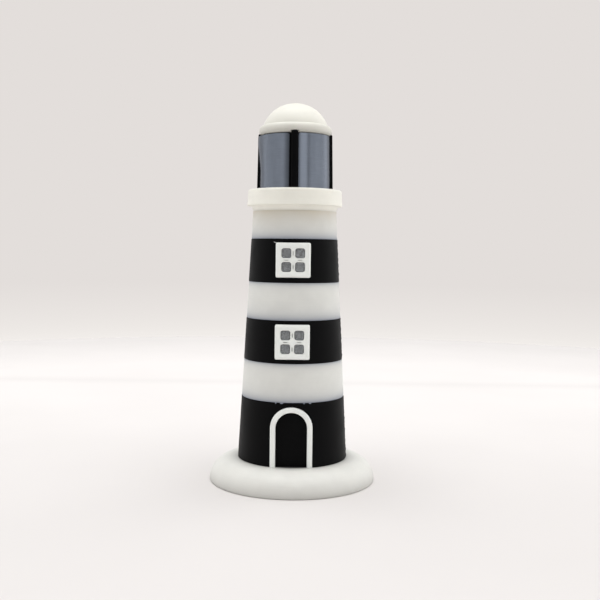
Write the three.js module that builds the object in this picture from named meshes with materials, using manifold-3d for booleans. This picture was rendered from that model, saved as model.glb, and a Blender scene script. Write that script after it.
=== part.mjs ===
// A souvenir lighthouse 100 mm tall. A round base carries a tapering tower of stacked black
// and white sections, a gallery ring, a glazed lantern and a domed roof that lifts off.
// Millimetres, +Z up, origin at the centre of the base's underside, door and windows facing -Y.

import * as THREE from 'three';
import { mergeVertices } from 'three/addons/utils/BufferGeometryUtils.js';
import Module from 'manifold-3d';

const wasm = await Module();
wasm.setup();

// ---- driving dimensions ----

// Heights of the joints between the stacked pieces.
const BASE_TOP = 6.05;
const DOOR_BAND_TOP = 22.55;
const LOWER_WHITE_TOP = 32.45;
const MIDDLE_BAND_TOP = 43.35;
const UPPER_WHITE_TOP = 52.95;
const UPPER_BAND_TOP = 64.1;
const NECK_TOP = 71.4;
const GALLERY_TOP = 77.05;
const LANTERN_TOP = 91.2;
const ROOF_TOP = 100;

// Base: a disc whose rim rises straight and then rolls over in a quarter ellipse.
const BASE_RADIUS = 21.95;
const BASE_RIM = 0.5;
const BASE_ROLL = 6;

// Tower: a straight cone, with the black sections a hair proud of the white ones.
const TOWER_FOOT_RADIUS = 14.45;
const TOWER_TAPER = 0.0535;
const BAND_PROUD = 0.06;

// Gallery: a cove that curves out of the neck, then a plain ring.
const GALLERY_COVE_REACH = 1.5;
const GALLERY_COVE_TOP = 72.8;
const GALLERY_LOWER_RADIUS = 12.58;
const GALLERY_UPPER_RADIUS = 12.37;
const GALLERY_EDGE = 0.35;

// Lantern: a drum, and four mullions that stand out of it and end above it.
const DRUM_LOWER_RADIUS = 9;
const DRUM_UPPER_RADIUS = 8.75;
const MULLION_COUNT = 4;
const MULLION_WIDTH = 1.56;
const MULLION_LOWER_REACH = 10.02;
const MULLION_UPPER_REACH = 9.74;
const MULLION_ROOT = 7.5;
const MULLION_TIP_INNER = 9.15;
const MULLION_TIP_RISE = 0.45;

// Lantern panes: film bent round the drum. Angles are degrees from the mullion at the front.
const PANE_TOP = 90.85;
const PANE_THICKNESS = 0.3;
const PANES = [
  { name: 'lantern_pane_front_right', from: 6.2, to: 84.2 },
  { name: 'lantern_pane_rear_right', from: 96, to: 174 },
  { name: 'lantern_pane_rear_left', from: 186, to: 264 },
  { name: 'lantern_pane_front_left', from: 275.4, to: 351.4 },
];

// Roof: a rounded flange with a dome rising out of it.
const DOME_RADIUS = 8.95;
const FLANGE_RADIUS = 9.58;
const FLANGE_CHAMFER = 0.6;
const FLANGE_ROUND = 1.4;
const FLANGE_TOP = 93.9;
const NOTCH_CLEARANCE = 0.2;
const NOTCH_INNER_RADIUS = 8.95;

// Square pegs join the stack and keep the door and windows in line.
const PEG_SIDE = 7;
const PEG_CORNER = 0.6;
const PEG_HEIGHT = 3.2;
const PEG_CLEARANCE = 0.2;
const SOCKET_DEPTH = 3.5;

// Windows: a square frame with four lights, over a grey plate with four raised pads.
const WINDOW_SIDE = 8.85;
const WINDOW_CORNER = 0.4;
const LIGHT_SIDE = 2.5;
const LIGHT_CORNER = 0.6;
const LIGHT_PITCH = 3.5;
const FRAME_THICKNESS = 1.3;
const GLAZING_THICKNESS = 0.5;
const GLAZING_INSET = 0.2;
const PAD_RECESS = 0.35;
const PAD_CLEARANCE = 0.08;
const LOWER_WINDOW = { height: 37.97, front: 13.3 };
const UPPER_WINDOW = { height: 58.72, front: 12.2 };

// Door: a leaf set back in a pocket, framed by a round-headed arch in front of it.
const ARCH_OUTER = 5.47;
const ARCH_INNER = 3.95;
const ARCH_SPRING = 16.05;
const ARCH_FRONT = 13.85;
const LEAF_FRONT = 12.9;
const LEAF_THICKNESS = 1;

// Fits: the slack round a trim piece in its pocket, and the glue line behind one.
const POCKET_SLACK = 0.1;
const GLUE_LINE = 0.05;

// Facets: round the axis, along a curved profile and round a small corner.
const ROUND_FACETS = 72;
const PROFILE_FACETS = 8;
const CORNER_FACETS = 2;
const ARC_FACETS = 8;

// How far a cutting tool runs past the face that it cuts, or a joined piece sinks in.
const OVERRUN = 1;
const FAR = 20;

// ---- materials ----

const WHITE = { color: 0xdededa, roughness: 0.55, metalness: 0 };
const CREAM = { color: 0xebe8dc, roughness: 0.5, metalness: 0 };
const BLACK = { color: 0x131315, roughness: 0.5, metalness: 0 };
const TRIM = { color: 0xe4e6e1, roughness: 0.5, metalness: 0 };
const GREY = { color: 0x85888a, roughness: 0.6, metalness: 0 };
const SMOKE = { color: 0x6e757e, roughness: 0.15, metalness: 0.3 };

// ---- shapes and solids ----

const radians = THREE.MathUtils.degToRad;

const towerRadius = (z) => TOWER_FOOT_RADIUS - TOWER_TAPER * (z - BASE_TOP);

const drumRadius = (z) => THREE.MathUtils.mapLinear(
  z, GALLERY_TOP, LANTERN_TOP, DRUM_LOWER_RADIUS, DRUM_UPPER_RADIUS);

// A closed geometry as a solid, with its shared vertices merged and collapsed faces dropped.
function toSolid(geometry) {
  geometry.deleteAttribute('normal');
  geometry.deleteAttribute('uv');
  const merged = mergeVertices(geometry, 1e-4);
  const index = merged.index.array;
  const triangles = [];
  for (let i = 0; i < index.length; i += 3) {
    const [a, b, c] = [index[i], index[i + 1], index[i + 2]];
    if (a !== b && b !== c && c !== a) triangles.push(a, b, c);
  }
  return new wasm.Manifold(new wasm.Mesh({
    numProp: 3,
    vertProperties: merged.attributes.position.array,
    triVerts: Uint32Array.from(triangles),
  }));
}

function toMesh(name, solid, look) {
  const { vertProperties, triVerts } = solid.getMesh();
  const geometry = new THREE.BufferGeometry();
  geometry.setAttribute('position', new THREE.BufferAttribute(vertProperties, 3));
  geometry.setIndex(new THREE.BufferAttribute(triVerts, 1));
  geometry.computeVertexNormals();
  const mesh = new THREE.Mesh(geometry, new THREE.MeshStandardMaterial(look));
  mesh.name = name;
  return mesh;
}

// A profile of [radius, height] points turned about the vertical axis.
function turned(profile) {
  const points = profile.map(([radius, height]) => new THREE.Vector2(radius, height));
  return toSolid(new THREE.LatheGeometry(points, ROUND_FACETS).rotateX(Math.PI / 2));
}

// Points on an ellipse's arc in a profile, from one angle to another.
function profileArc(centreRadius, centreHeight, across, up, fromAngle, toAngle) {
  const arc = new THREE.EllipseCurve(
    centreRadius, centreHeight, across, up, fromAngle, toAngle, toAngle < fromAngle);
  return arc.getPoints(PROFILE_FACETS).map((point) => [point.x, point.y]);
}

function roundedSquare(outline, x, y, side, corner) {
  const reach = side / 2 - corner;
  outline.absarc(x + reach, y - reach, corner, -Math.PI / 2, 0);
  outline.absarc(x + reach, y + reach, corner, 0, Math.PI / 2);
  outline.absarc(x - reach, y + reach, corner, Math.PI / 2, Math.PI);
  outline.absarc(x - reach, y - reach, corner, Math.PI, 1.5 * Math.PI);
  return outline;
}

// A flat outline as an upright plate that faces -Y, between two distances from the axis.
function plate(shape, backDistance, frontDistance, facets = CORNER_FACETS) {
  const depth = frontDistance - backDistance;
  const geometry = new THREE.ExtrudeGeometry(
    shape, { depth, bevelEnabled: false, curveSegments: facets });
  return toSolid(geometry.rotateX(Math.PI / 2).translate(0, -backDistance, 0));
}

// ---- the joints of the stack ----

function squarePost(side, bottom, top) {
  const shape = roundedSquare(new THREE.Shape(), 0, 0, side, PEG_CORNER);
  const geometry = new THREE.ExtrudeGeometry(
    shape, { depth: top - bottom, bevelEnabled: false, curveSegments: CORNER_FACETS });
  return toSolid(geometry.translate(0, 0, bottom));
}

const withPeg = (solid, top) => solid.add(squarePost(PEG_SIDE, top - OVERRUN, top + PEG_HEIGHT));

const withSocket = (solid, bottom) => solid.subtract(
  squarePost(PEG_SIDE + 2 * PEG_CLEARANCE, bottom - OVERRUN, bottom + SOCKET_DEPTH));

// ---- base and tower ----

function makeBase() {
  const roll = profileArc(
    BASE_RADIUS - BASE_ROLL, BASE_RIM, BASE_ROLL, BASE_TOP - BASE_RIM, 0, Math.PI / 2);
  const disc = turned([[0, 0], [BASE_RADIUS, 0], ...roll, [0, BASE_TOP]]);
  return toMesh('base_disc', withPeg(disc, BASE_TOP), CREAM);
}

// One length of the cone, with a socket below and a peg above.
function towerSection(bottom, top, proud) {
  const cone = turned([
    [0, bottom],
    [towerRadius(bottom) + proud, bottom],
    [towerRadius(top) + proud, top],
    [0, top],
  ]);
  return withPeg(withSocket(cone, bottom), top);
}

const whiteSection = (name, bottom, top) => toMesh(name, towerSection(bottom, top, 0), WHITE);

const blackSection = (name, bottom, top, pocket) => toMesh(
  name, towerSection(bottom, top, BAND_PROUD).subtract(pocket), BLACK);

// ---- door ----

function archOutline(halfWidth, bottom) {
  const shape = new THREE.Shape();
  shape.moveTo(-halfWidth, bottom);
  shape.lineTo(halfWidth, bottom);
  shape.absarc(0, ARCH_SPRING, halfWidth, 0, Math.PI);
  return shape;
}

function makeDoorPocket() {
  const outline = archOutline(ARCH_OUTER + POCKET_SLACK, BASE_TOP - OVERRUN);
  return plate(outline, LEAF_FRONT - LEAF_THICKNESS - GLUE_LINE, FAR, ARC_FACETS);
}

function makeDoorLeaf() {
  const leaf = plate(
    archOutline(ARCH_OUTER, BASE_TOP), LEAF_FRONT - LEAF_THICKNESS, LEAF_FRONT, ARC_FACETS);
  return toMesh('door_leaf', leaf, BLACK);
}

function makeDoorArch() {
  const back = LEAF_FRONT + GLUE_LINE;
  const outside = plate(archOutline(ARCH_OUTER, BASE_TOP), back, ARCH_FRONT, ARC_FACETS);
  const opening = plate(
    archOutline(ARCH_INNER, BASE_TOP - OVERRUN), back - OVERRUN, FAR, ARC_FACETS);
  return toMesh('door_arch', outside.subtract(opening), TRIM);
}

// ---- windows ----

const glazingBack = (window) => window.front - FRAME_THICKNESS - GLUE_LINE - GLAZING_THICKNESS;

function lightCentres(window) {
  const half = LIGHT_PITCH / 2;
  return [-half, half].flatMap((x) => [-half, half].map((z) => [x, window.height + z]));
}

function makeWindowPocket(window) {
  const side = WINDOW_SIDE + 2 * POCKET_SLACK;
  const outline = roundedSquare(new THREE.Shape(), 0, window.height, side, WINDOW_CORNER);
  return plate(outline, glazingBack(window) - GLUE_LINE, FAR);
}

function makeWindowFrame(name, window) {
  const outline = roundedSquare(
    new THREE.Shape(), 0, window.height, WINDOW_SIDE, WINDOW_CORNER);
  outline.holes = lightCentres(window).map(
    ([x, z]) => roundedSquare(new THREE.Path(), x, z, LIGHT_SIDE, LIGHT_CORNER));
  return toMesh(name, plate(outline, window.front - FRAME_THICKNESS, window.front), TRIM);
}

function makeWindowGlazing(name, window) {
  const back = glazingBack(window);
  const side = WINDOW_SIDE - 2 * GLAZING_INSET;
  const sheet = roundedSquare(new THREE.Shape(), 0, window.height, side, WINDOW_CORNER);
  let glazing = plate(sheet, back, back + GLAZING_THICKNESS);
  for (const [x, z] of lightCentres(window)) {
    const pad = roundedSquare(
      new THREE.Shape(), x, z, LIGHT_SIDE - 2 * PAD_CLEARANCE, LIGHT_CORNER - PAD_CLEARANCE);
    glazing = glazing.add(plate(pad, back, window.front - PAD_RECESS));
  }
  return toMesh(name, glazing, GREY);
}

// ---- gallery and lantern ----

function makeGallery() {
  const coveRise = GALLERY_COVE_TOP - NECK_TOP;
  const cove = profileArc(
    towerRadius(NECK_TOP) + GALLERY_COVE_REACH, NECK_TOP,
    GALLERY_COVE_REACH, coveRise, Math.PI, Math.PI / 2);
  const ring = turned([
    [0, NECK_TOP],
    ...cove,
    [GALLERY_LOWER_RADIUS, GALLERY_COVE_TOP],
    [GALLERY_UPPER_RADIUS, GALLERY_TOP - GALLERY_EDGE],
    [GALLERY_UPPER_RADIUS - GALLERY_EDGE, GALLERY_TOP],
    [0, GALLERY_TOP],
  ]);
  return toMesh('gallery_ring', withPeg(withSocket(ring, NECK_TOP), GALLERY_TOP), CREAM);
}

// An upright bar that leans in with the drum and ends in a tip above it, facing -Y.
function mullion() {
  const shape = new THREE.Shape();
  shape.moveTo(MULLION_ROOT, GALLERY_TOP);
  shape.lineTo(MULLION_LOWER_REACH, GALLERY_TOP);
  shape.lineTo(MULLION_UPPER_REACH, LANTERN_TOP);
  shape.lineTo(MULLION_UPPER_REACH - MULLION_TIP_RISE / 2, LANTERN_TOP + MULLION_TIP_RISE);
  shape.lineTo(MULLION_TIP_INNER, LANTERN_TOP + MULLION_TIP_RISE);
  shape.lineTo(MULLION_TIP_INNER, LANTERN_TOP);
  shape.lineTo(MULLION_ROOT, LANTERN_TOP);
  const geometry = new THREE.ExtrudeGeometry(
    shape, { depth: MULLION_WIDTH, bevelEnabled: false });
  geometry.rotateX(Math.PI / 2).translate(0, MULLION_WIDTH / 2, 0);
  return toSolid(geometry.rotateZ(-Math.PI / 2));
}

function roundTheAxis(solid, count) {
  const step = 360 / count;
  return Array.from({ length: count }, (_, k) => solid.rotate([0, 0, k * step]));
}

function makeLanternCore() {
  const drum = turned([
    [0, GALLERY_TOP],
    [DRUM_LOWER_RADIUS, GALLERY_TOP],
    [DRUM_UPPER_RADIUS, LANTERN_TOP],
    [0, LANTERN_TOP],
  ]);
  const ribbed = roundTheAxis(mullion(), MULLION_COUNT).reduce((core, rib) => core.add(rib), drum);
  const core = withPeg(withSocket(ribbed, GALLERY_TOP), LANTERN_TOP);
  return toMesh('lantern_core', core, BLACK);
}

// A sector of film, extruded straight up and then drawn in to follow the drum's taper.
function makePane({ name, from, to }) {
  const inner = DRUM_LOWER_RADIUS + GLUE_LINE;
  const start = radians(from - 90);
  const end = radians(to - 90);
  const sector = new THREE.Shape();
  sector.absarc(0, 0, inner + PANE_THICKNESS, start, end);
  sector.absarc(0, 0, inner, end, start, true);
  const geometry = new THREE.ExtrudeGeometry(sector, {
    depth: PANE_TOP - GALLERY_TOP, bevelEnabled: false, curveSegments: ARC_FACETS,
  }).translate(0, 0, GALLERY_TOP);
  const position = geometry.attributes.position;
  for (let i = 0; i < position.count; i += 1) {
    const draw = drumRadius(position.getZ(i)) / DRUM_LOWER_RADIUS;
    position.setX(i, position.getX(i) * draw);
    position.setY(i, position.getY(i) * draw);
  }
  return toMesh(name, toSolid(geometry), SMOKE);
}

// ---- roof ----

// The notch in the flange's lower edge that takes the front mullion's tip.
function tipNotch() {
  const width = MULLION_WIDTH + 2 * NOTCH_CLEARANCE;
  const height = MULLION_TIP_RISE + NOTCH_CLEARANCE + OVERRUN;
  const depth = FAR - NOTCH_INNER_RADIUS;
  const box = new THREE.BoxGeometry(width, depth, height);
  box.translate(0, -NOTCH_INNER_RADIUS - depth / 2, LANTERN_TOP - OVERRUN + height / 2);
  return toSolid(box);
}

function makeRoof() {
  const domeCentre = ROOF_TOP - DOME_RADIUS;
  const roundCentre = [FLANGE_RADIUS - FLANGE_ROUND, FLANGE_TOP - FLANGE_ROUND];
  const meetHeight = FLANGE_TOP - NOTCH_CLEARANCE / 4;
  const roundEnd = Math.asin((meetHeight - roundCentre[1]) / FLANGE_ROUND);
  const domeStart = Math.asin((meetHeight - domeCentre) / DOME_RADIUS);
  const flange = profileArc(...roundCentre, FLANGE_ROUND, FLANGE_ROUND, 0, roundEnd);
  const dome = profileArc(0, domeCentre, DOME_RADIUS, DOME_RADIUS, domeStart, Math.PI / 2);
  dome[dome.length - 1][0] = 0;
  const cap = turned([
    [0, LANTERN_TOP],
    [FLANGE_RADIUS - FLANGE_CHAMFER, LANTERN_TOP],
    [FLANGE_RADIUS, LANTERN_TOP + FLANGE_CHAMFER],
    ...flange,
    ...dome,
  ]);
  const notched = roundTheAxis(tipNotch(), MULLION_COUNT).reduce(
    (roof, notch) => roof.subtract(notch), cap);
  return toMesh('roof', withSocket(notched, LANTERN_TOP), CREAM);
}

// ---- assembly ----

const lighthouse = new THREE.Group();
lighthouse.add(
  makeBase(),
  blackSection('door_band', BASE_TOP, DOOR_BAND_TOP, makeDoorPocket()),
  makeDoorLeaf(),
  makeDoorArch(),
  whiteSection('lower_white_section', DOOR_BAND_TOP, LOWER_WHITE_TOP),
  blackSection('middle_band', LOWER_WHITE_TOP, MIDDLE_BAND_TOP, makeWindowPocket(LOWER_WINDOW)),
  makeWindowGlazing('lower_window_glazing', LOWER_WINDOW),
  makeWindowFrame('lower_window_frame', LOWER_WINDOW),
  whiteSection('upper_white_section', MIDDLE_BAND_TOP, UPPER_WHITE_TOP),
  blackSection('upper_band', UPPER_WHITE_TOP, UPPER_BAND_TOP, makeWindowPocket(UPPER_WINDOW)),
  makeWindowGlazing('upper_window_glazing', UPPER_WINDOW),
  makeWindowFrame('upper_window_frame', UPPER_WINDOW),
  whiteSection('neck', UPPER_BAND_TOP, NECK_TOP),
  makeGallery(),
  makeLanternCore(),
  ...PANES.map(makePane),
  makeRoof(),
);

export default lighthouse;
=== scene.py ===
import math

import bmesh
import bpy
from mathutils import Matrix, Vector, noise


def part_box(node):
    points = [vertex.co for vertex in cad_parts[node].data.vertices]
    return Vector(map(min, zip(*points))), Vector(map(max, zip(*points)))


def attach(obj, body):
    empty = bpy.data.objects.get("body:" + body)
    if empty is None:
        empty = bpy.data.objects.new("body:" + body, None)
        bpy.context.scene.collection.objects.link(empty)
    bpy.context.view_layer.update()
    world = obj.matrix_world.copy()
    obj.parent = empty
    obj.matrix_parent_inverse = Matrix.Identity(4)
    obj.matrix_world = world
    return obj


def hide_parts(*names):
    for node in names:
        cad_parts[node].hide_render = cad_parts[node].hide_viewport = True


# A souvenir lighthouse printed in white, black and grey plastic, with film panes in its lantern.
# Lengths in this script are millimetres until a mesh is made; Blender objects are in metres.

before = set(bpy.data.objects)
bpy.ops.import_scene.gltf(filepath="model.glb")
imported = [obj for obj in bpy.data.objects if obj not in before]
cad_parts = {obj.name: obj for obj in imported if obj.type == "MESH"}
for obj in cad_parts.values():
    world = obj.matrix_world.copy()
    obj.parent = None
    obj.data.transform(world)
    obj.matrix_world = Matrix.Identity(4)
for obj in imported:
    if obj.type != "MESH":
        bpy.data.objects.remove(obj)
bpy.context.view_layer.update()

MM = 0.001


def low(node):
    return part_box(node)[0] / MM


def high(node):
    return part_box(node)[1] / MM


def half_width(node):
    return (high(node).x - low(node).x) / 2


# ---- sizes taken from the frame ----

BASE_TOP = low("door_band").z
DOOR_BAND_TOP = low("lower_white_section").z
LOWER_WHITE_TOP = low("middle_band").z
MIDDLE_BAND_TOP = low("upper_white_section").z
UPPER_WHITE_TOP = low("upper_band").z
UPPER_BAND_TOP = low("neck").z
NECK_TOP = low("gallery_ring").z
GALLERY_TOP = low("lantern_core").z
LANTERN_TOP = low("roof").z
ROOF_TOP = high("roof").z

BASE_RADIUS = half_width("base_disc")
GALLERY_RADIUS = half_width("gallery_ring")
FLANGE_RADIUS = half_width("roof")
MULLION_LOWER_REACH = half_width("lantern_core")
NECK_FOOT_RADIUS = half_width("neck")
TOWER_TAPER = (half_width("lower_white_section") - NECK_FOOT_RADIUS) / (
    UPPER_BAND_TOP - DOOR_BAND_TOP)


def tower_radius(z):
    return NECK_FOOT_RADIUS + TOWER_TAPER * (UPPER_BAND_TOP - z)


BAND_PROUD = half_width("door_band") - tower_radius(BASE_TOP)

# ---- sizes of the fine shapes ----

PEG_SIDE = 7.0
PEG_CORNER = 0.6
PEG_HEIGHT = high("neck").z - NECK_TOP
SOCKET_SIDE = 7.4
SOCKET_DEPTH = 3.5
OVERRUN = 1.0

BASE_RIM = 0.5
BASE_ROLL = 6.0
EDGE_ROUND = 0.16

GALLERY_COVE_REACH = 1.5
GALLERY_COVE_TOP = 72.8
GALLERY_LIP = 0.2
GALLERY_SLOPE = 1.4
GALLERY_UPPER_RADIUS = 12.37
GALLERY_EDGE_ROUND = 0.55

DRUM_LOWER_RADIUS = 9.0
DRUM_UPPER_RADIUS = 8.75
MULLION_ANGLES = [math.radians(degrees) for degrees in (-90, 0, 90, 180)]
MULLION_WIDTH = 1.56
MULLION_EDGE_ROUND = 0.2
MULLION_UPPER_REACH = 9.74
MULLION_ROOT = 7.5
MULLION_TIP_INNER = 9.15
MULLION_TIP_ROUND = 0.36
MULLION_TOP = LANTERN_TOP + 0.45
MULLION_FOOT_TOP = GALLERY_TOP + 0.45
MULLION_STRAIGHT_TOP = LANTERN_TOP - 0.15
MULLION_FLARE = 0.1
MULLION_FLARE_FOOT = LANTERN_TOP - 1.2

# Lantern panes: first and last edge in degrees from the front mullion, and the gap over the film.
PANES = {
    "front_right": (6.2, 84.2, 0.1),
    "rear_right": (96, 174, 0.25),
    "rear_left": (186, 264, 0.3),
    "front_left": (275.4, 351.4, 0.17),
}
PANE_THICKNESS = 0.3
PANE_CORNER = 0.55
PANE_FOOT_GAP = 0.03
PANE_COLUMNS = 48
PANE_ROWS = 44
SLIP_EDGE = 0.45
SLIP_START = 0.35
SLIP_OUT = 0.72
SLIP_TURN = math.radians(4.4)

DOME_RADIUS = 8.95
DOME_SAG = 0.2
FLANGE_TOP = 93.9
FLANGE_ROUND = 1.4
FLANGE_FOOT_ROUND = 1.0
NOTCH_INNER = 8.95
NOTCH_SLACK = 0.16
NOTCH_HEADROOM = 0.12

ARCH_OUTER = half_width("door_arch")
ARCH_INNER = 3.95
ARCH_SLIM = 0.07
ARCH_SPRING = high("door_arch").z - ARCH_OUTER
ARCH_EDGE_ROUND = 0.28
ARCH_OUTER_SOFTNESS = 2.6
ARCH_INNER_SOFTNESS = 0.8
LEAF_EDGE_ROUND = 0.08
POCKET_SLACK = 0.1
GLUE_LINE = 0.05

WINDOW_CORNER = 0.4
WINDOW_RIM_ROUND = 0.45
WINDOW_RIM_CORNER = 0.1
LIGHT_SIDE = 2.5
LIGHT_CORNER = 0.6
LIGHT_PITCH = 3.5
LIGHT_ROUND = 0.12
GLAZING_THICKNESS = 0.5
GLAZING_EDGE_ROUND = 0.05
PAD_SLACK = 0.06
PAD_ROOT = 0.1
PAD_ROUND = 0.14

COLUMNS = 240
SEAM_ANGLE = math.radians(-2.5)
SEAM_COLUMN_STEP = math.radians(0.3)


# ---- outlines and profiles ----

def filleted(corners, steps=6):
    """A closed or open run of (x, y, radius) corners as points, with each corner rounded."""
    points = []
    last = len(corners) - 1
    for k, (x, y, radius) in enumerate(corners):
        here = Vector((x, y))
        if not radius or k in (0, last):
            points.append((x, y))
            continue
        back = (Vector(corners[k - 1][:2]) - here).normalized()
        ahead = (Vector(corners[k + 1][:2]) - here).normalized()
        half = back.angle(ahead) / 2
        centre = here + (back + ahead).normalized() * radius / math.sin(half)
        start = here + back * radius / math.tan(half) - centre
        end = here + ahead * radius / math.tan(half) - centre
        turn = start.angle_signed(end)
        for i in range(steps + 1):
            arm = start.copy()
            arm.rotate(Matrix.Rotation(-turn * i / steps, 2))
            points.append(tuple(centre + arm))
    return points


def arc(x, y, across, up, start, end, steps):
    """Points on an ellipse's arc; the angles are in degrees."""
    angles = [math.radians(start + (end - start) * i / steps) for i in range(steps + 1)]
    return [(x + across * math.cos(a), y + up * math.sin(a)) for a in angles]


def divided(profile, longest):
    """The same profile, with no step along a sloping side longer than longest."""
    points = [profile[0]]
    for (r0, z0), (r1, z1) in zip(profile, profile[1:]):
        count = max(1, math.ceil(abs(z1 - z0) / longest))
        points += [(r0 + (r1 - r0) * i / count, z0 + (z1 - z0) * i / count)
                   for i in range(1, count + 1)]
    return points


def rounded_square(x, z, side, corner, steps=6):
    """A square outline with round corners, anticlockwise."""
    reach = side / 2 - corner
    centres = [(x + reach, z - reach, -90), (x + reach, z + reach, 0),
               (x - reach, z + reach, 90), (x - reach, z - reach, 180)]
    return [p for cx, cz, start in centres
            for p in arc(cx, cz, corner, corner, start, start + 90, steps)]


def arch(half, bottom, steps=40):
    """A round-headed door outline, from its right foot over the top to its left foot."""
    return [(half, bottom)] + arc(0, ARCH_SPRING, half, half, 0, 180, steps) + [(-half, bottom)]


# ---- meshes ----

def column_angles():
    """Even columns round the axis, with a few more close to the print seam."""
    even = [2 * math.pi * i / COLUMNS for i in range(COLUMNS)]
    extra = [(SEAM_ANGLE + SEAM_COLUMN_STEP * k) % (2 * math.pi) for k in range(-6, 7)]
    return sorted(set(round(a, 6) for a in even + extra))


def turned(profile, push=None):
    """A profile of (radius, height) turned about +Z. push(angle, height) moves the skin out."""
    angles = column_angles()
    vertices, rings = [], []
    for radius, z in profile:
        if radius == 0:
            rings.append([len(vertices)])
            vertices.append((0, 0, z))
            continue
        rings.append(list(range(len(vertices), len(vertices) + len(angles))))
        for a in angles:
            out = radius + (push(a, z) if push else 0)
            vertices.append((out * math.cos(a), out * math.sin(a), z))
    return vertices, skinned(rings)


def skinned(rings):
    """Faces between neighbouring closed rings of vertices; a ring of one is a pole."""
    faces = []
    for lower, upper in zip(rings, rings[1:]):
        count = max(len(lower), len(upper))
        for i in range(count):
            j = (i + 1) % count
            corners = [lower[i % len(lower)], lower[j % len(lower)],
                       upper[j % len(upper)], upper[i % len(upper)]]
            faces.append(list(dict.fromkeys(corners)))
    return faces


def mesh_object(name, vertices, faces):
    mesh = bpy.data.meshes.new(name)
    mesh.from_pydata([Vector(v) * MM for v in vertices], [], faces)
    obj = bpy.data.objects.new(name, mesh)
    bpy.context.scene.collection.objects.link(obj)
    return obj


def tidy_normals(obj):
    """Turns every face outwards."""
    bm = bmesh.new()
    bm.from_mesh(obj.data)
    bmesh.ops.recalc_face_normals(bm, faces=bm.faces)
    bm.to_mesh(obj.data)
    bm.free()


def stacked(name, wall_sets):
    """A solid from walls, each a list of loops of (x, y, z) from the back to the front.

    The first loops of all walls bound the back face, and the last loops the front face.
    A wall marked blind starts at its own floor instead of at the back.
    """
    bm = bmesh.new()
    backs, fronts = [], []
    for loops, blind in wall_sets:
        rings = [[bm.verts.new(Vector(p) * MM) for p in loop] for loop in loops]
        for lower, upper in zip(rings, rings[1:]):
            for i in range(len(lower)):
                j = (i + 1) % len(lower)
                bm.faces.new((lower[i], lower[j], upper[j], upper[i]))
        if blind:
            bm.faces.new(rings[0])
        else:
            backs.append(rings[0])
        fronts.append(rings[-1])
    for loops in (backs, fronts):
        edges = [bm.edges.get((a, b)) for ring in loops for a, b in zip(ring, ring[1:] + ring[:1])]
        bmesh.ops.triangle_fill(bm, edges=edges, use_beauty=True, use_dissolve=False)
    bmesh.ops.recalc_face_normals(bm, faces=bm.faces)
    mesh = bpy.data.meshes.new(name)
    bm.to_mesh(mesh)
    bm.free()
    obj = bpy.data.objects.new(name, mesh)
    bpy.context.scene.collection.objects.link(obj)
    return obj


def wall(outline, back, front, rounding, steps=5):
    """The loops of a plate's edge, from the back to a rounded front rim.

    outline(inset) gives the outline drawn in by inset; the plate faces -Y.
    """
    loops = [(back, 0.0)]
    for i in range(steps + 1):
        a = math.radians(90 * i / steps)
        loops.append((front + rounding * (1 - math.sin(a)), rounding * (1 - math.cos(a))))
    return [[(x, y, z) for x, z in outline(inset)] for y, inset in loops]


def combine(obj, other, operation):
    """Joins or cuts obj with other, and removes other."""
    tidy_normals(obj)
    tidy_normals(other)
    modifier = obj.modifiers.new(operation, "BOOLEAN")
    modifier.operation = operation
    modifier.solver = "EXACT"
    modifier.object = other
    graph = bpy.context.evaluated_depsgraph_get()
    result = bpy.data.meshes.new_from_object(obj.evaluated_get(graph))
    obj.modifiers.clear()
    old = obj.data
    obj.data = result
    bpy.data.meshes.remove(old)
    bpy.data.objects.remove(other)
    return obj


def joined(obj, others):
    """One object that holds the shells of all of them."""
    bm = bmesh.new()
    for part in [obj, *others]:
        bm.from_mesh(part.data)
    bm.to_mesh(obj.data)
    bm.free()
    for part in others:
        bpy.data.objects.remove(part)
    return obj


def post(name, side, bottom, top):
    """A square post on the axis, with rounded edges."""
    outline = rounded_square(0, 0, side, PEG_CORNER)
    rings = [[(x, y, bottom) for x, y in outline], [(x, y, top) for x, y in outline]]
    return stacked(name, [(rings, False)])


def with_peg(obj, top):
    """Adds the square peg that stands on top of a piece."""
    return combine(obj, post("peg", PEG_SIDE, top - OVERRUN, top + PEG_HEIGHT), "UNION")


def with_socket(obj, bottom):
    """Cuts the square socket that takes the peg of the piece below."""
    socket = post("socket", SOCKET_SIDE, bottom - OVERRUN, bottom + SOCKET_DEPTH)
    return combine(obj, socket, "DIFFERENCE")


def finish_piece(obj, node, body, material, sharp=32):
    """Smooths, colours and files a piece that stands for one CAD node."""
    tidy_normals(obj)
    obj.data.shade_smooth()
    obj.data.set_sharp_from_angle(angle=math.radians(sharp))
    obj.data.materials.clear()
    obj.data.materials.append(material)
    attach(obj, body)
    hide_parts(node)
    return obj


# ---- material building ----

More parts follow.
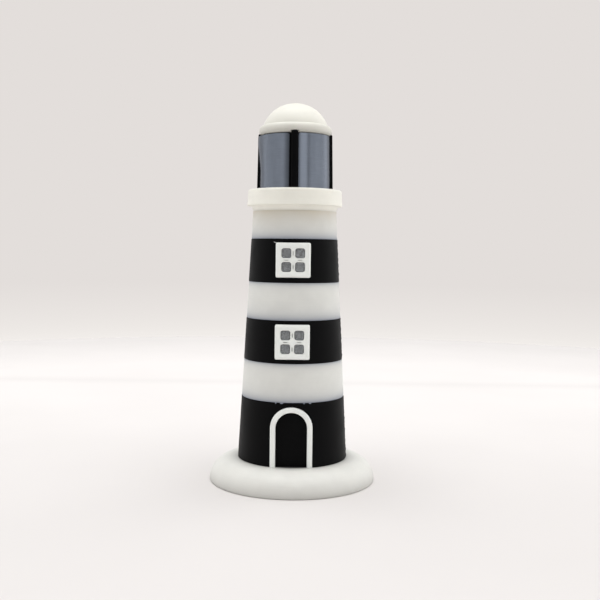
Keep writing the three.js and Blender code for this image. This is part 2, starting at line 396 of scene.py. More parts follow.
class Tree:
    """A node tree, with short calls for the nodes that this scene needs."""

    def __init__(self, tree):
        self.tree = tree
        self.coordinates = tree.nodes.new("ShaderNodeTexCoord").outputs

    def link(self, source, target):
        if hasattr(source, "is_linked"):
            self.tree.links.new(source, target)
        else:
            target.default_value = source

    def vector(self, operation, a, b=None, scale=None):
        node = self.tree.nodes.new("ShaderNodeVectorMath")
        node.operation = operation
        self.link(a, node.inputs[0])
        if b is not None:
            self.link(b, node.inputs[1])
        if scale is not None:
            node.inputs["Scale"].default_value = scale
        return node.outputs["Value" if operation == "DOT_PRODUCT" else "Vector"]

    def math(self, operation, a, b=0.0, clamp=False):
        node = self.tree.nodes.new("ShaderNodeMath")
        node.operation = operation
        node.use_clamp = clamp
        self.link(a, node.inputs[0])
        self.link(b, node.inputs[1])
        return node.outputs[0]

    def parts(self, vector):
        node = self.tree.nodes.new("ShaderNodeSeparateXYZ")
        self.link(vector, node.inputs[0])
        return node.outputs

    def spread(self, value, low_in, high_in, low_out, high_out, smooth=False):
        node = self.tree.nodes.new("ShaderNodeMapRange")
        node.interpolation_type = "SMOOTHSTEP" if smooth else "LINEAR"
        for name, number in (("From Min", low_in), ("From Max", high_in),
                             ("To Min", low_out), ("To Max", high_out)):
            node.inputs[name].default_value = number
        self.link(value, node.inputs["Value"])
        return node.outputs["Result"]

    def blend(self, factor, a, b):
        node = self.tree.nodes.new("ShaderNodeMix")
        node.data_type = "RGBA"
        self.link(factor, node.inputs["Factor"])
        self.link(a, node.inputs["A"])
        self.link(b, node.inputs["B"])
        return node.outputs["Result"]


class Surface(Tree):
    """A material with a principled shader, and noise measured in millimetres."""

    def __init__(self, name):
        self.material = bpy.data.materials.new(name)
        self.material.use_nodes = True
        super().__init__(self.material.node_tree)
        self.shader = self.tree.nodes["Principled BSDF"]
        self.place = self.vector("SCALE", self.coordinates["Object"], scale=1 / MM)

    def height(self):
        return self.parts(self.place)["Z"]

    def from_axis(self):
        place = self.parts(self.place)
        return self.math("SQRT", self.math("ADD", self.math("MULTIPLY", place["X"], place["X"]),
                                           self.math("MULTIPLY", place["Y"], place["Y"])))

    def cloud(self, scale, detail=2.0, stretch=(1, 1, 1), roughness=0.5):
        """Noise with about scale features to the millimetre, centred on 0.5."""
        node = self.tree.nodes.new("ShaderNodeTexNoise")
        node.inputs["Scale"].default_value = scale
        node.inputs["Detail"].default_value = detail
        node.inputs["Roughness"].default_value = roughness
        self.link(self.vector("MULTIPLY", self.place, stretch), node.inputs["Vector"])
        return node.outputs["Fac"]

    def vary(self, noise_value, low_out, high_out, half_range=0.2):
        """Noise stretched from its usual range round 0.5 to the asked one."""
        return self.spread(noise_value, 0.5 - half_range, 0.5 + half_range, low_out, high_out)

    def fade(self, distance, reach):
        """One where distance is zero, and less by a factor of e for every reach."""
        return self.math("EXPONENT", self.math("MULTIPLY", distance, -1 / reach))

    def bump(self, height, distance, under=None):
        node = self.tree.nodes.new("ShaderNodeBump")
        node.inputs["Distance"].default_value = distance * MM
        self.link(height, node.inputs["Height"])
        if under is not None:
            self.link(under, node.inputs["Normal"])
        return node.outputs["Normal"]


def colour(red, green, blue):
    """An sRGB colour of 0 to 255 numbers, as linear light."""
    def linear(c):
        c /= 255
        return c / 12.92 if c <= 0.04045 else ((c + 0.055) / 1.055) ** 2.4
    return (linear(red), linear(green), linear(blue), 1.0)


def darker(c, share):
    return (c[0] * share, c[1] * share, c[2] * share, 1.0)


# How noise is stretched along x, y and z into the streaks of printed layers, and the grain's scale.
LAYERS = (0.12, 0.12, 5.0)
GRAIN = 7.0
GRAIN_DEPTH = 0.006


def printed(name, base, rough, specular, layer_depth=0.012, mottle=0.05, glow=0.0):
    """Printed plastic: layer streaks, a fine grain and a faint cloudiness."""
    n = Surface(name)
    streak = n.cloud(1.0, 3.0, LAYERS)
    cloudy = n.cloud(0.22, 3.0)
    grain = n.cloud(GRAIN, 2.0)
    tone = n.blend(n.vary(cloudy, 0, 1, 0.15), darker(base, 1 - mottle), base)
    n.tone = n.blend(n.vary(streak, 0, mottle), tone, darker(base, 0.6))
    n.link(n.tone, n.shader.inputs["Base Color"])
    n.link(n.vary(cloudy, rough - 0.05, rough + 0.05), n.shader.inputs["Roughness"])
    n.shader.inputs["Specular IOR Level"].default_value = specular
    n.shader.inputs["Subsurface Weight"].default_value = glow
    n.shader.inputs["Subsurface Radius"].default_value = (1.0, 0.95, 0.85)
    n.shader.inputs["Subsurface Scale"].default_value = 0.5 * MM
    normal = n.bump(streak, layer_depth)
    n.normal = n.bump(grain, GRAIN_DEPTH, under=normal)
    n.link(n.normal, n.shader.inputs["Normal"])
    return n


WHITE = colour(221, 221, 216)
WHITE_PAINTED_SHADE = colour(132, 138, 150)
WHITE_WARM_SHADE = colour(204, 196, 180)
CREAM = colour(240, 238, 228)
BASE_CREAM = colour(243, 242, 236)
TRIM = colour(241, 243, 239)
BLACK = colour(7, 7, 8)
GREY = colour(152, 155, 157)
SMOKE = colour(102, 108, 118)

# How far painted shade reaches into white plastic from the black below and above, and the painted
# warm shade under the gallery.
LOWER_SHADE_REACH = 1.3
UPPER_SHADE_REACH = 0.65
UPPER_SHADE_AMOUNT = 0.85
WARM_SHADE_REACH = 2.2


def white_between_bands(name, bottom, top, shaded_top=True):
    """White plastic with painted shade that darkens it towards the black of its neighbours.

    Where nothing black is above, its top gets painted warm shade and bounce light from the cream
    gallery instead.
    """
    n = printed(name, WHITE, 0.55, 0.4, glow=0.1)
    z = n.height()
    # Painted shade from the black band below, and from the black band above where shaded_top.
    shade = n.fade(n.math("SUBTRACT", z, bottom), LOWER_SHADE_REACH)
    under_top = n.math("SUBTRACT", top, z)
    if shaded_top:
        upper = n.math("MULTIPLY", n.fade(under_top, UPPER_SHADE_REACH), UPPER_SHADE_AMOUNT)
        shade = n.math("ADD", shade, upper)
    else:
        # Painted warm shade and bounce light under the gallery, in patches.
        patchy = n.vary(n.cloud(0.1, 2.0), 0.7, 1.2, 0.15)
        warm_shade = n.math("MULTIPLY", n.fade(under_top, WARM_SHADE_REACH), patchy, clamp=True)
        n.tone = n.blend(warm_shade, n.tone, WHITE_WARM_SHADE)
    tone = n.blend(n.math("MULTIPLY", shade, 1.0, clamp=True), n.tone, WHITE_PAINTED_SHADE)
    n.link(tone, n.shader.inputs["Base Color"])
    return n.material


def painted_foot_shade(name, base, foot, reach, amount):
    """Pale plastic with painted shade that darkens it close to its foot."""
    n = printed(name, base, 0.5, 0.4, glow=0.08)
    rise = n.math("SUBTRACT", n.height(), foot)
    shade = n.math("MULTIPLY", n.fade(rise, reach), amount, clamp=True)
    # The painted shade colour is the plastic's own colour, darkened.
    n.tone = n.blend(shade, n.tone, darker(base, 0.35))
    n.link(n.tone, n.shader.inputs["Base Color"])
    return n


# How far and how strongly painted shade darkens the base's top next to the door band.
CONTACT_SHADE_REACH = 0.8
CONTACT_SHADE_AMOUNT = 0.38


def base_plastic():
    """The base's plastic, with painted shade at its foot and on its top where it meets the door
    band.
    """
    n = painted_foot_shade("cream_base_plastic", BASE_CREAM, 0, 4.5, 0.64)
    away = n.math("SUBTRACT", n.from_axis(), tower_radius(BASE_TOP) + BAND_PROUD)
    shade = n.math("MULTIPLY", n.fade(away, CONTACT_SHADE_REACH), CONTACT_SHADE_AMOUNT)
    shade = n.math("MULTIPLY", shade, n.spread(n.height(), 2.5, 5, 0, 1), clamp=True)
    n.link(n.blend(shade, n.tone, darker(BASE_CREAM, 0.06)), n.shader.inputs["Base Color"])
    return n.material


def plain_white(name, base, specular=0.4):
    return printed(name, base, 0.5, specular, glow=0.08).material


def black_plastic(name):
    return printed(name, BLACK, 0.5, 0.055, mottle=0.2).material


# The width of one printed line of plastic.
LINE_WIDTH = 0.43


def ruled(name, base, specular, rough, line_depth, contrast):
    """The top of a flat print, ruled by slanting lines of plastic side by side."""
    n = printed(name, base, rough, specular, layer_depth=0.004)
    slant = (math.sqrt(0.5), 0, math.sqrt(0.5))
    across = n.vector("DOT_PRODUCT", n.place, slant)
    wander = n.math("MULTIPLY", n.cloud(1.1, 2.0), 0.5)
    phase = n.math("MULTIPLY", n.math("ADD", across, wander), 2 * math.pi / LINE_WIDTH)
    ridge = n.math("SINE", phase)
    patch = n.cloud(2.4, 4.0, roughness=0.8)
    shade = n.math("ADD", n.spread(ridge, -1, 1, 0, contrast),
                   n.spread(patch, 0.44, 0.6, 0, 4 * contrast), clamp=True)
    n.link(n.blend(shade, n.tone, darker(base, 0.45)), n.shader.inputs["Base Color"])
    n.link(n.bump(ridge, line_depth, under=n.normal), n.shader.inputs["Normal"])
    return n.material


def smoke_film(name):
    """Glossy tinted film, with faint scuffs in its shine."""
    n = Surface(name)
    scuff = n.cloud(0.5, 4.0, (1, 1, 0.3))
    brushed = n.cloud(1.4, 3.0, (0.3, 0.3, 3))
    tone = n.blend(n.vary(scuff, 0, 1), darker(SMOKE, 0.86), darker(SMOKE, 1.02))
    tone = n.blend(n.vary(brushed, 0, 0.5), tone, darker(SMOKE, 0.75))
    n.link(tone, n.shader.inputs["Base Color"])
    n.link(n.vary(scuff, 0.14, 0.2), n.shader.inputs["Roughness"])
    n.shader.inputs["Metallic"].default_value = 0.7
    n.shader.inputs["Specular IOR Level"].default_value = 0.4
    n.shader.inputs["Specular Tint"].default_value = (0.64, 0.64, 0.66, 1)
    n.link(n.bump(n.cloud(0.25, 1.0, (1, 1, 0.25)), 0.02), n.shader.inputs["Normal"])
    return n.material


# ---- the print seam ----

def seam(seed, height=0.1, width=0.22):
    """A vertical run of small beads where each printed layer starts."""
    def push(angle, z):
        away = (angle - SEAM_ANGLE + math.pi) % (2 * math.pi) - math.pi
        across = away * tower_radius(z) / width
        if abs(across) > 3:
            return 0.0
        beads = noise.noise(Vector((seed, 0, z * 1.3))) + 0.35
        return height * math.exp(-across * across) * max(0.15, beads * 1.8)
    return push


# ---- base and tower ----

def make_base():
    roll = arc(BASE_RADIUS - BASE_ROLL, BASE_RIM, BASE_ROLL, BASE_TOP - BASE_RIM, 0, 90, 28)
    profile = [(0, 0), (BASE_RADIUS - 0.35, 0), (BASE_RADIUS - 0.1, 0.12), *roll,
               (tower_radius(BASE_TOP) - 1, BASE_TOP), (0, BASE_TOP)]
    disc = mesh_object("base_disc_print", *turned(profile))
    return finish_piece(
        with_peg(disc, BASE_TOP), "base_disc", "tower", base_plastic())


def tower_print(name, bottom, top, proud, seed):
    """One section of the tower, with softened rims, a socket below and a peg above."""
    lower = tower_radius(bottom) + proud
    upper = tower_radius(top) + proud
    profile = filleted([(0, bottom, 0), (lower, bottom, EDGE_ROUND),
                        (upper, top, EDGE_ROUND), (0, top, 0)])
    section = mesh_object(name, *turned(divided(profile, 0.5), seam(seed)))
    return with_peg(with_socket(section, bottom), top)


def make_white_section(node, bottom, top, seed, extras=(), **shading):
    section = tower_print(node + "_print", bottom, top, 0, seed)
    section = joined(section, extras)
    material = white_between_bands(node + "_plastic", bottom, top, **shading)
    return finish_piece(section, node, "tower", material)


def make_black_section(node, bottom, top, seed, pocket, material):
    section = tower_print(node + "_print", bottom, top, BAND_PROUD, seed)
    section = combine(section, pocket, "DIFFERENCE")
    return finish_piece(section, node, "tower", material)


def drip(angle, size, seed):
    """A flat crumb of white plastic over the rim where white meets black."""
    radius = tower_radius(DOOR_BAND_TOP)
    steps, sides = 8, 12
    deep, tall, droop = 0.13, 0.2, 0.08
    vertices, rings = [], []
    for i in range(steps + 1):
        polar = math.pi * i / steps
        ring_size = 1 if i in (0, steps) else sides
        rings.append(list(range(len(vertices), len(vertices) + ring_size)))
        for k in range(ring_size):
            around = 2 * math.pi * k / ring_size
            p = Vector((math.sin(polar) * math.cos(around), math.sin(polar) * math.sin(around),
                        math.cos(polar)))
            p *= 1 + 0.3 * noise.noise(p * 1.7 + Vector((seed, 0, 0)))
            p = Vector((p.x * size, p.y * deep, p.z * tall - droop))
            p += Vector((0, -radius, DOOR_BAND_TOP))
            p.rotate(Matrix.Rotation(angle, 3, "Z"))
            vertices.append(p)
    return mesh_object("drip", vertices, skinned(rings[::-1]))


def make_drips():
    """Crumbs in pairs, above the two shoulders of the door arch."""
    runs = [(-17.1, 0.2), (-10.6, 0.45), (13.5, 0.2), (20.3, 0.4)]
    return [drip(math.radians(a), size, k) for k, (a, size) in enumerate(runs)]


# ---- door ----

def make_pocket(outline, back):
    """A cutter for the tower's front that goes just deeper than the back of what is let in."""
    loops = [[(x, y, z) for x, z in outline] for y in (back + GLUE_LINE, -BASE_RADIUS)]
    return stacked("pocket", [(loops, False)])


def make_door_pocket():
    return make_pocket(arch(ARCH_OUTER + POCKET_SLACK, BASE_TOP - OVERRUN), high("door_leaf").y)


def make_door_leaf(material):
    front, back = low("door_leaf").y, high("door_leaf").y
    leaf = stacked("door_leaf_print", [(wall(
        lambda inset: arch(ARCH_OUTER - inset, BASE_TOP), back, front, LEAF_EDGE_ROUND), False)])
    return finish_piece(leaf, "door_leaf", "tower", material)


def arch_band(inset):
    """The outline of the arch's strip, drawn in most from its outer edge, which is well rounded."""
    outer = ARCH_OUTER - ARCH_SLIM - ARCH_OUTER_SOFTNESS * inset
    inner = ARCH_INNER + ARCH_SLIM + ARCH_INNER_SOFTNESS * inset
    return arch(outer, BASE_TOP) + arch(inner, BASE_TOP)[::-1]


def make_door_arch(material):
    front, back = low("door_arch").y, high("door_arch").y
    strip = stacked("door_arch_print", [(wall(arch_band, back, front, ARCH_EDGE_ROUND, 6), False)])
    return finish_piece(strip, "door_arch", "tower", material, 50)


# ---- windows ----

def light_centres(node):
    middle = (low(node) + high(node)) / 2
    half = LIGHT_PITCH / 2
    return [(x, middle.z + z) for x in (-half, half) for z in (-half, half)]


def window_square(node, inset, corner=WINDOW_CORNER):
    """The square outline of a window's piece, drawn in by inset."""
    middle = (low(node) + high(node)) / 2
    return rounded_square(0, middle.z, 2 * half_width(node) - 2 * inset, corner)


def groove(x, z, along_x, front):
    """A blind slot in a bar, where two lines of plastic don't quite meet."""
    long, wide, deep = 0.5, 0.13, 0.7
    reach = (long, wide) if along_x else (wide, long)
    corners = ((1, -1), (1, 1), (-1, 1), (-1, -1))
    outline = [(x + reach[0] * a, z + reach[1] * b) for a, b in corners]
    return [[(px, y, pz) for px, pz in outline] for y in (front + deep, front)]


def make_window_frame(node, material, hair=False):
    front, back = low(node).y, high(node).y

    def rim(inset):
        return window_square(node, inset, max(WINDOW_CORNER - inset, WINDOW_RIM_CORNER))
    walls = [(wall(rim, back, front, WINDOW_RIM_ROUND, 7), False)]
    for x, z in light_centres(node):
        def light(inset, x=x, z=z):
            return rounded_square(x, z, LIGHT_SIDE + 2 * inset, LIGHT_CORNER + inset)
        walls.append((wall(light, back, front, LIGHT_ROUND, 3), False))
    middle = ((low(node) + high(node)) / 2).z
    half = LIGHT_PITCH / 2
    for offset in (-half, half):
        walls.append((groove(offset, middle, True, front), True))
        walls.append((groove(0, middle + offset, False, front), True))
    window = stacked(node + "_print", walls)
    if hair:
        window = joined(window, [make_hair(low(node), high(node))])
    return finish_piece(window, node, "tower", material, 50)


def make_hair(corner, far_corner):
    """A curled thread of plastic left at the frame's upper left corner."""
    start = Vector((corner.x + 0.15, corner.y + 0.35, far_corner.z - 0.15))
    steps, sides, root_thickness = 10, 8, 0.07
    vertices, rings = [], [[0]]
    vertices.append(start)
    for i in range(steps + 1):
        t = i / steps
        centre = start + Vector((-0.6 * t, -0.15 * t, 0.2 * t + 0.08 * math.sin(t * 2.6)))
        thick = root_thickness * (1 - 0.5 * t)
        rings.append(list(range(len(vertices), len(vertices) + sides)))
        for k in range(sides):
            a = 2 * math.pi * k / sides
            vertices.append(centre + Vector((0, thick * math.cos(a), thick * math.sin(a))))
    rings.append([len(vertices)])
    vertices.append(centre + Vector((-0.05, 0, 0)))
    return mesh_object("hair", vertices, skinned(rings))


def make_window_pocket(frame_node, glazing_node):
    return make_pocket(window_square(frame_node, -POCKET_SLACK), high(glazing_node).y)


def make_glazing(node, material):
    """A backing sheet with a raised, softly rounded pad in each of the four lights."""
    front, back = low(node).y, high(node).y
    sheet = stacked(node + "_print", [(wall(
        lambda inset: window_square(node, inset), back, back - GLAZING_THICKNESS,
        GLAZING_EDGE_ROUND), False)])
    pads = []
    for x, z in light_centres(node):
        def pad(inset, x=x, z=z):
            slack = PAD_SLACK + inset
            return rounded_square(x, z, LIGHT_SIDE - 2 * slack, LIGHT_CORNER - slack)
        pads.append(stacked("pad", [(wall(pad, back - PAD_ROOT, front, PAD_ROUND), False)]))
    for one in pads:
        sheet = combine(sheet, one, "UNION")
    return finish_piece(sheet, node, "tower", material)


# ---- gallery and lantern ----

def make_gallery():
    cove = arc(tower_radius(NECK_TOP) + GALLERY_COVE_REACH, NECK_TOP,
               GALLERY_COVE_REACH, GALLERY_COVE_TOP - NECK_TOP, 180, 92, 14)
    face = filleted([
        (*cove[-1], 0), (GALLERY_RADIUS, GALLERY_COVE_TOP, 0.12),
        (GALLERY_RADIUS, GALLERY_COVE_TOP + GALLERY_LIP, 0.3),
        (GALLERY_UPPER_RADIUS + 0.06, GALLERY_COVE_TOP + GALLERY_SLOPE, 1.0),
        (GALLERY_UPPER_RADIUS, GALLERY_TOP, GALLERY_EDGE_ROUND), (0, GALLERY_TOP, 0)])
    profile = [(0, NECK_TOP), *cove[:-1], *face]
    ring = mesh_object("gallery_ring_print", *turned(divided(profile, 0.4), seam(31, 0.08)))
    ring = with_peg(with_socket(ring, NECK_TOP), GALLERY_TOP)
    # Painted shade on the cove, darkest where it meets the neck.
    material = painted_foot_shade("cream_gallery_plastic", CREAM, NECK_TOP, 0.6, 0.4).material
    return finish_piece(ring, "gallery_ring", "tower", material)


def lean(z):
    """How far the lantern's sides have drawn in at a height, as a share of their foot."""
    share = (z - GALLERY_TOP) / (LANTERN_TOP - GALLERY_TOP)
    return 1 + share * (MULLION_UPPER_REACH / MULLION_LOWER_REACH - 1)


def make_mullion(angle):
    """An upright bar with rounded edges, a slightly spread foot and a domed tip."""
    levels = [(GALLERY_TOP, 0.16), (GALLERY_TOP + 0.2, 0.12), (MULLION_FOOT_TOP, 0)]
    straight = MULLION_STRAIGHT_TOP - MULLION_FOOT_TOP
    levels += [(MULLION_FOOT_TOP + straight * i / 12, 0) for i in range(1, 13)]
    tip_foot = MULLION_TOP - MULLION_TIP_ROUND
    levels += [(tip_foot + MULLION_TIP_ROUND * math.sin(a), MULLION_TIP_ROUND * (math.cos(a) - 1))
               for a in (math.radians(15 * k) for k in range(7))]
    loops = []
    for z, spread in levels:
        reach = MULLION_LOWER_REACH * lean(min(z, LANTERN_TOP)) + min(spread, 0)
        flare = max(0.0, (z - MULLION_FLARE_FOOT) / (MULLION_TOP - MULLION_FLARE_FOOT))
        half = MULLION_WIDTH / 2 + spread + MULLION_FLARE * flare
        root = MULLION_TIP_INNER - min(spread, 0) if z > LANTERN_TOP else MULLION_ROOT
        outline = filleted([(root, 0, 0), (root, half, 0), (reach, half, MULLION_EDGE_ROUND),
                            (reach, -half, MULLION_EDGE_ROUND), (root, -half, 0),
                            (root, 0, 0)], 4)[:-1]
        loops.append([(x, y, z) for x, y in outline])
    bar = stacked("mullion", [(loops, False)])
    bar.data.transform(Matrix.Rotation(angle, 4, "Z"))
    return bar


def make_lantern_core(material):
    profile = filleted([(0, GALLERY_TOP, 0), (DRUM_LOWER_RADIUS, GALLERY_TOP, 0.05),
                        (DRUM_UPPER_RADIUS, LANTERN_TOP, 0.1), (0, LANTERN_TOP, 0)])
    core = mesh_object("lantern_core_print", *turned(divided(profile, 1.0)))
    for angle in MULLION_ANGLES:
        core = combine(core, make_mullion(angle), "UNION")
    core = with_peg(with_socket(core, GALLERY_TOP), LANTERN_TOP)
    return finish_piece(core, "lantern_core", "tower", material)


def pane_side(start, end, top, thickness, lift):
    """The points of one side of a bent sheet with rounded corners, row by row from its foot."""
    bottom = GALLERY_TOP + PANE_FOOT_GAP
    across = math.radians(end - start)
    points = []
    for i in range(PANE_ROWS + 1):
        z = bottom + (top - bottom) * 0.5 * (1 - math.cos(math.pi * i / PANE_ROWS))
        into_corner = max(PANE_CORNER - min(z - bottom, top - z), 0)
        bite = PANE_CORNER - math.sqrt(max(PANE_CORNER ** 2 - into_corner ** 2, 0))
        trim = bite / (DRUM_LOWER_RADIUS * across)
        for k in range(PANE_COLUMNS + 1):
            u = trim + (1 - 2 * trim) * k / PANE_COLUMNS
            out, turn = lift(u, (z - bottom) / (top - bottom)) if lift else (0, 0)
            radius = (DRUM_LOWER_RADIUS + GLUE_LINE) * lean(z) + out + thickness
            a = math.radians(start - 90) + across * u + turn
            points.append((radius * math.cos(a), radius * math.sin(a), z))
    return points


def sheet_faces(columns, rows):
    """The faces of a sheet whose outer points, then inner points, are in rows, and of its rim."""
    wide = columns + 1
    size = wide * (rows + 1)
    faces = []
    for side, flip in ((0, False), (size, True)):
        for i in range(rows):
            for k in range(columns):
                a = side + i * wide + k
                quad = (a, a + 1, a + wide + 1, a + wide)
                faces.append(quad[::-1] if flip else quad)
    rim = [*range(0, columns), *range(columns, size - 1, wide),
           *range(size - 1, size - wide, -1), *range(size - wide, 0, -wide)]
    return faces + [(a, b, b + size, a + size) for a, b in zip(rim, rim[1:] + rim[:1])]


def make_pane(node, start, end, top, material, lift=None):
    """A pane of film. lift(angle share, height share) says how far it is raised and turned."""
    outer = pane_side(start, end, top, PANE_THICKNESS, lift)
    inner = pane_side(start, end, top, 0, lift)
    pane = mesh_object(node + "_film", outer + inner, sheet_faces(PANE_COLUMNS, PANE_ROWS))
    return finish_piece(pane, node, "tower", material, 40)


def slipped(u, v):
    """The front left pane: its outer edge rides up on the mullion towards the top."""
    edge = max(0.0, (SLIP_EDGE - u) / SLIP_EDGE)
    rise = max(0.0, (v - SLIP_START) / (1 - SLIP_START))
    out = SLIP_OUT * edge ** 2 * min(1.0, rise * 1.3)
    turn = -SLIP_TURN * (1 - u) * rise
    return out, turn


def make_panes():
    material = smoke_film("smoke_film")
    for place, (start, end, gap) in PANES.items():
        lift = slipped if place == "front_left" else None
        make_pane("lantern_pane_" + place, start, end, LANTERN_TOP - gap, material, lift)


# ---- roof ----

def make_roof():
    dome_centre = ROOF_TOP - DOME_RADIUS
    dome_rise = DOME_RADIUS - DOME_SAG
    round_centre = (FLANGE_RADIUS - FLANGE_ROUND, FLANGE_TOP - FLANGE_ROUND)
    meet = FLANGE_TOP - 0.05
    round_end = math.degrees(math.asin((meet - round_centre[1]) / FLANGE_ROUND))
    dome_start = math.degrees(math.asin((meet - dome_centre) / dome_rise))
    flange = arc(*round_centre, FLANGE_ROUND, FLANGE_ROUND, 0, round_end, 14)
    dome = arc(0, dome_centre, DOME_RADIUS, dome_rise, dome_start, 90, 40)
    foot = filleted([(0, LANTERN_TOP, 0), (FLANGE_RADIUS, LANTERN_TOP, FLANGE_FOOT_ROUND),
                     (FLANGE_RADIUS, round_centre[1], 0)])
    crown = (0, dome_centre + dome_rise)
    roof = mesh_object("roof_print", *turned([*foot[:-1], *flange, *dome[:-1], crown]))
    for angle in MULLION_ANGLES:
        roof = combine(roof, tip_notch(angle), "DIFFERENCE")
    roof = with_socket(roof, LANTERN_TOP)
    # Painted shade on the roof, darker towards the flange's foot over the lantern.
    material = painted_foot_shade("cream_roof_plastic", CREAM, LANTERN_TOP, 2.0, 0.7).material
    return finish_piece(roof, "roof", "roof", material)


def tip_notch(angle):
    """A slot in the flange's foot for one mullion's tip."""
    half = MULLION_WIDTH / 2 + NOTCH_SLACK
    outer = FLANGE_RADIUS + OVERRUN
    corners = [(NOTCH_INNER, -half), (outer, -half), (outer, half), (NOTCH_INNER, half)]
    loops = [[(x, y, z) for x, y in corners]
             for z in (LANTERN_TOP - OVERRUN, MULLION_TOP + NOTCH_HEADROOM)]
    notch = stacked("notch", [(loops, False)])
    notch.data.transform(Matrix.Rotation(angle, 4, "Z"))
    return notch


# ---- the whole lighthouse ----

def make_lighthouse():
    black = black_plastic("black_plastic")
    trim = plain_white("trim_plastic", TRIM)
    leaf = ruled("door_leaf_plastic", BLACK, 0.06, 0.5, 0.02, 0.25)
    glazing = ruled("window_light_plastic", GREY, 0.3, 0.6, 0.03, 0.28)
    make_base()
    make_black_section("door_band", BASE_TOP, DOOR_BAND_TOP, 3, make_door_pocket(), black)
    make_door_leaf(leaf)
    make_door_arch(trim)
    make_white_section(
        "lower_white_section", DOOR_BAND_TOP, LOWER_WHITE_TOP, 7, make_drips())
    make_black_section("middle_band", LOWER_WHITE_TOP, MIDDLE_BAND_TOP, 11,
                       make_window_pocket("lower_window_frame", "lower_window_glazing"), black)
    make_glazing("lower_window_glazing", glazing)
    make_window_frame("lower_window_frame", trim)
    make_white_section("upper_white_section", MIDDLE_BAND_TOP, UPPER_WHITE_TOP, 17)
    make_black_section("upper_band", UPPER_WHITE_TOP, UPPER_BAND_TOP, 23,
                       make_window_pocket("upper_window_frame", "upper_window_glazing"), black)
    make_glazing("upper_window_glazing", glazing)
    make_window_frame("upper_window_frame", trim, hair=True)
    make_white_section("neck", UPPER_BAND_TOP, NECK_TOP, 29, shaded_top=False)
    make_gallery()
    make_lantern_core(black)
    make_panes()
    make_roof()


# ---- stage, light and camera ----

FLOOR_RADIUS = 1520.0
FLOOR_SHADE_START = 240.0
WALL_RADIUS = 380.0
WALL_HEIGHT = 900.0
WALL_GLOW_HEIGHT = 38.0
CREASE_SHADE_DISTANCE = 168.0
CREASE_SHADE_WIDTH = 12.0


def plain_floor():
    """A pale sheet, with painted shade in front and a painted sheen further back.

    Painted shade darkens it towards the backdrop and along a faint line across it for a crease.
    """
    n = Surface("pale_floor")
    black = colour(0, 0, 0)
    back = n.parts(n.place)["Y"]
    # Painted shade in front and painted sheen further back.
    pale = n.blend(n.spread(back, -60, 120, 0, 1), colour(220, 216, 214), colour(232, 228, 226))
    faint = n.math("MULTIPLY", n.vary(n.cloud(0.02, 2.0), 0, 1), 0.12)
    pale = n.blend(faint, pale, colour(208, 204, 202))
    # Painted shade towards the backdrop.
    pale = n.blend(n.spread(n.from_axis(), FLOOR_SHADE_START, WALL_RADIUS, 0, 0.14), pale, black)
    crease = n.math("ABSOLUTE", n.math("SUBTRACT", back, CREASE_SHADE_DISTANCE))
    # A line of painted shade for a crease in the sheet.
    pale = n.blend(n.spread(crease, 0, CREASE_SHADE_WIDTH, 0.05, 0), pale, black)
    n.link(pale, n.shader.inputs["Base Color"])
    n.shader.inputs["Roughness"].default_value = 0.85
    n.shader.inputs["Specular IOR Level"].default_value = 0.15
    return n.material


def glowing_wall():
    """A backdrop that glows with painted light, brighter where it meets the floor and pale grey
    above.
    """
    n = Surface("glowing_backdrop")
    rise = n.math("POWER", n.spread(n.height(), 0, WALL_GLOW_HEIGHT, 0, 1), 0.55)
    tone = n.blend(rise, colour(244, 240, 236), colour(227, 222, 219))
    glow = n.tree.nodes.new("ShaderNodeEmission")
    n.link(tone, glow.inputs["Color"])
    output = n.tree.nodes["Material Output"]
    n.tree.links.new(glow.outputs[0], output.inputs["Surface"])
    return n.material


def make_stage():
    floor = mesh_object("floor", *turned([(0, 0), (FLOOR_RADIUS, 0)]))
    floor.data.materials.append(plain_floor())
    rings = [(WALL_RADIUS, 0), (WALL_RADIUS, WALL_HEIGHT)]
    wall_object = mesh_object("backdrop", *turned(rings))
    wall_object.data.materials.append(glowing_wall())
    # The backdrop's painted light is seen by the camera only: it lights nothing and casts no
    # shadow.
    wall_object.visible_diffuse = False
    wall_object.visible_glossy = False
    wall_object.visible_shadow = False


# Glowing panels round the studio: middle, half width and soft edge in degrees, counted from the
# camera's side (-Y) towards +X, then lowest and highest elevation in degrees, and strength.
PANELS = (
    (88, 30, 25, -5, 30, 1.58),
    (110, 35, 30, 30, 55, 0.4),
    (-78, 32, 24, -5, 30, 1.42),
    (-110, 35, 30, 30, 55, 0.65),
    (28, 8, 9, -5, 26, 2.1),
    (-31, 5, 13, -5, 26, 0.45),
    (180, 45, 35, -5, 30, 0.85),
)


PANEL_FOOT_SOFTNESS = 4
PANEL_TOP_SOFTNESS = 5
DIMMEST = 0.02


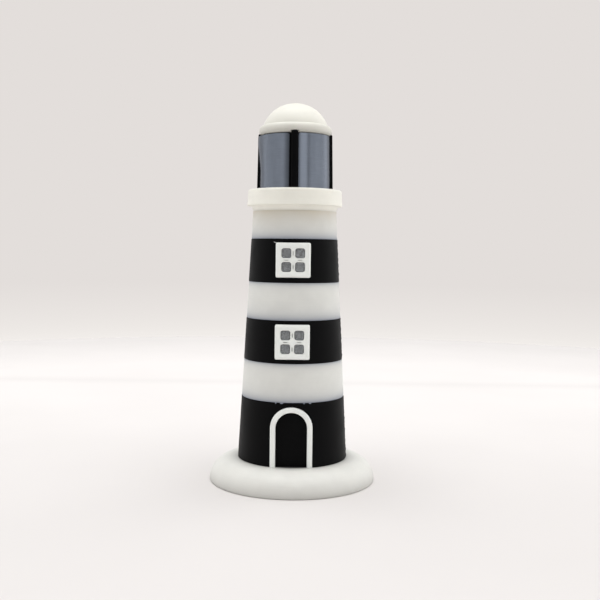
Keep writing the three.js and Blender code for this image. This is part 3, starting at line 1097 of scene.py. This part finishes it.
def make_world():
    """Soft panels at both sides and behind, and a dim gap where the camera stands."""
    world = bpy.data.worlds.new("studio")
    bpy.context.scene.world = world
    world.use_nodes = True
    n = Tree(world.node_tree)
    way = n.parts(n.coordinates["Generated"])
    azimuth = n.math("ARCTAN2", way["X"], n.math("MULTIPLY", way["Y"], -1))
    elevation = n.math("ARCSINE", way["Z"])
    total = DIMMEST
    for middle, half, soft, bottom, top, strength in PANELS:
        turn = n.math("SUBTRACT", azimuth, math.radians(middle))
        away = n.math("ARCCOSINE", n.math("COSINE", turn))
        across = n.spread(away, math.radians(half + soft), math.radians(half), 0, strength, True)
        above = n.spread(elevation, math.radians(bottom),
                         math.radians(bottom + PANEL_FOOT_SOFTNESS), 0, 1, True)
        below = n.spread(elevation, math.radians(top + PANEL_TOP_SOFTNESS),
                         math.radians(top - PANEL_TOP_SOFTNESS), 0, 1, True)
        panel = n.math("MULTIPLY", across, n.math("MULTIPLY", above, below))
        total = n.math("ADD", panel, total)
    background = n.tree.nodes["Background"]
    background.inputs["Color"].default_value = (1, 1, 1, 1)
    n.link(total, background.inputs["Strength"])


CEILING_HEIGHT = 2600.0
CEILING_SIDE = 3000.0
CEILING_ENERGY = 83


def make_lights():
    """A broad softbox overhead."""
    light = bpy.data.lights.new("ceiling_softbox", "AREA")
    light.shape = "SQUARE"
    light.size = CEILING_SIDE * MM
    light.energy = CEILING_ENERGY
    softbox = bpy.data.objects.new("ceiling_softbox", light)
    bpy.context.scene.collection.objects.link(softbox)
    softbox.location = (0, 0, CEILING_HEIGHT * MM)


CAMERA_DISTANCE = 232.28
CAMERA_HEIGHT = 61.445
CAMERA_PITCH = math.radians(3.318)
CAMERA_YAW = math.radians(0.4174)
CAMERA_ROLL = math.radians(0.663)
CAMERA_TURN = math.radians(1.1)
SENSOR_WIDTH = 36.0
LENS = 52.28


def make_camera():
    """A hand-held camera in front of the door, level with the upper window."""
    data = bpy.data.cameras.new("camera")
    data.sensor_width = SENSOR_WIDTH
    data.lens = LENS
    data.clip_start = 0.01
    data.clip_end = 10
    camera = bpy.data.objects.new("camera", data)
    bpy.context.scene.collection.objects.link(camera)
    turn = Matrix.Rotation(CAMERA_TURN, 4, "Z")
    place = Matrix.Translation(Vector((0, -CAMERA_DISTANCE, CAMERA_HEIGHT)) * MM)
    look = (Matrix.Rotation(-CAMERA_YAW, 4, "Z")
            @ Matrix.Rotation(math.pi / 2 - CAMERA_PITCH, 4, "X")
            @ Matrix.Rotation(CAMERA_ROLL, 4, "Z"))
    camera.matrix_world = turn @ place @ look
    bpy.context.scene.camera = camera


make_lighthouse()
make_stage()
make_world()
make_lights()
make_camera()
bpy.context.scene.view_settings.view_transform = "Standard"
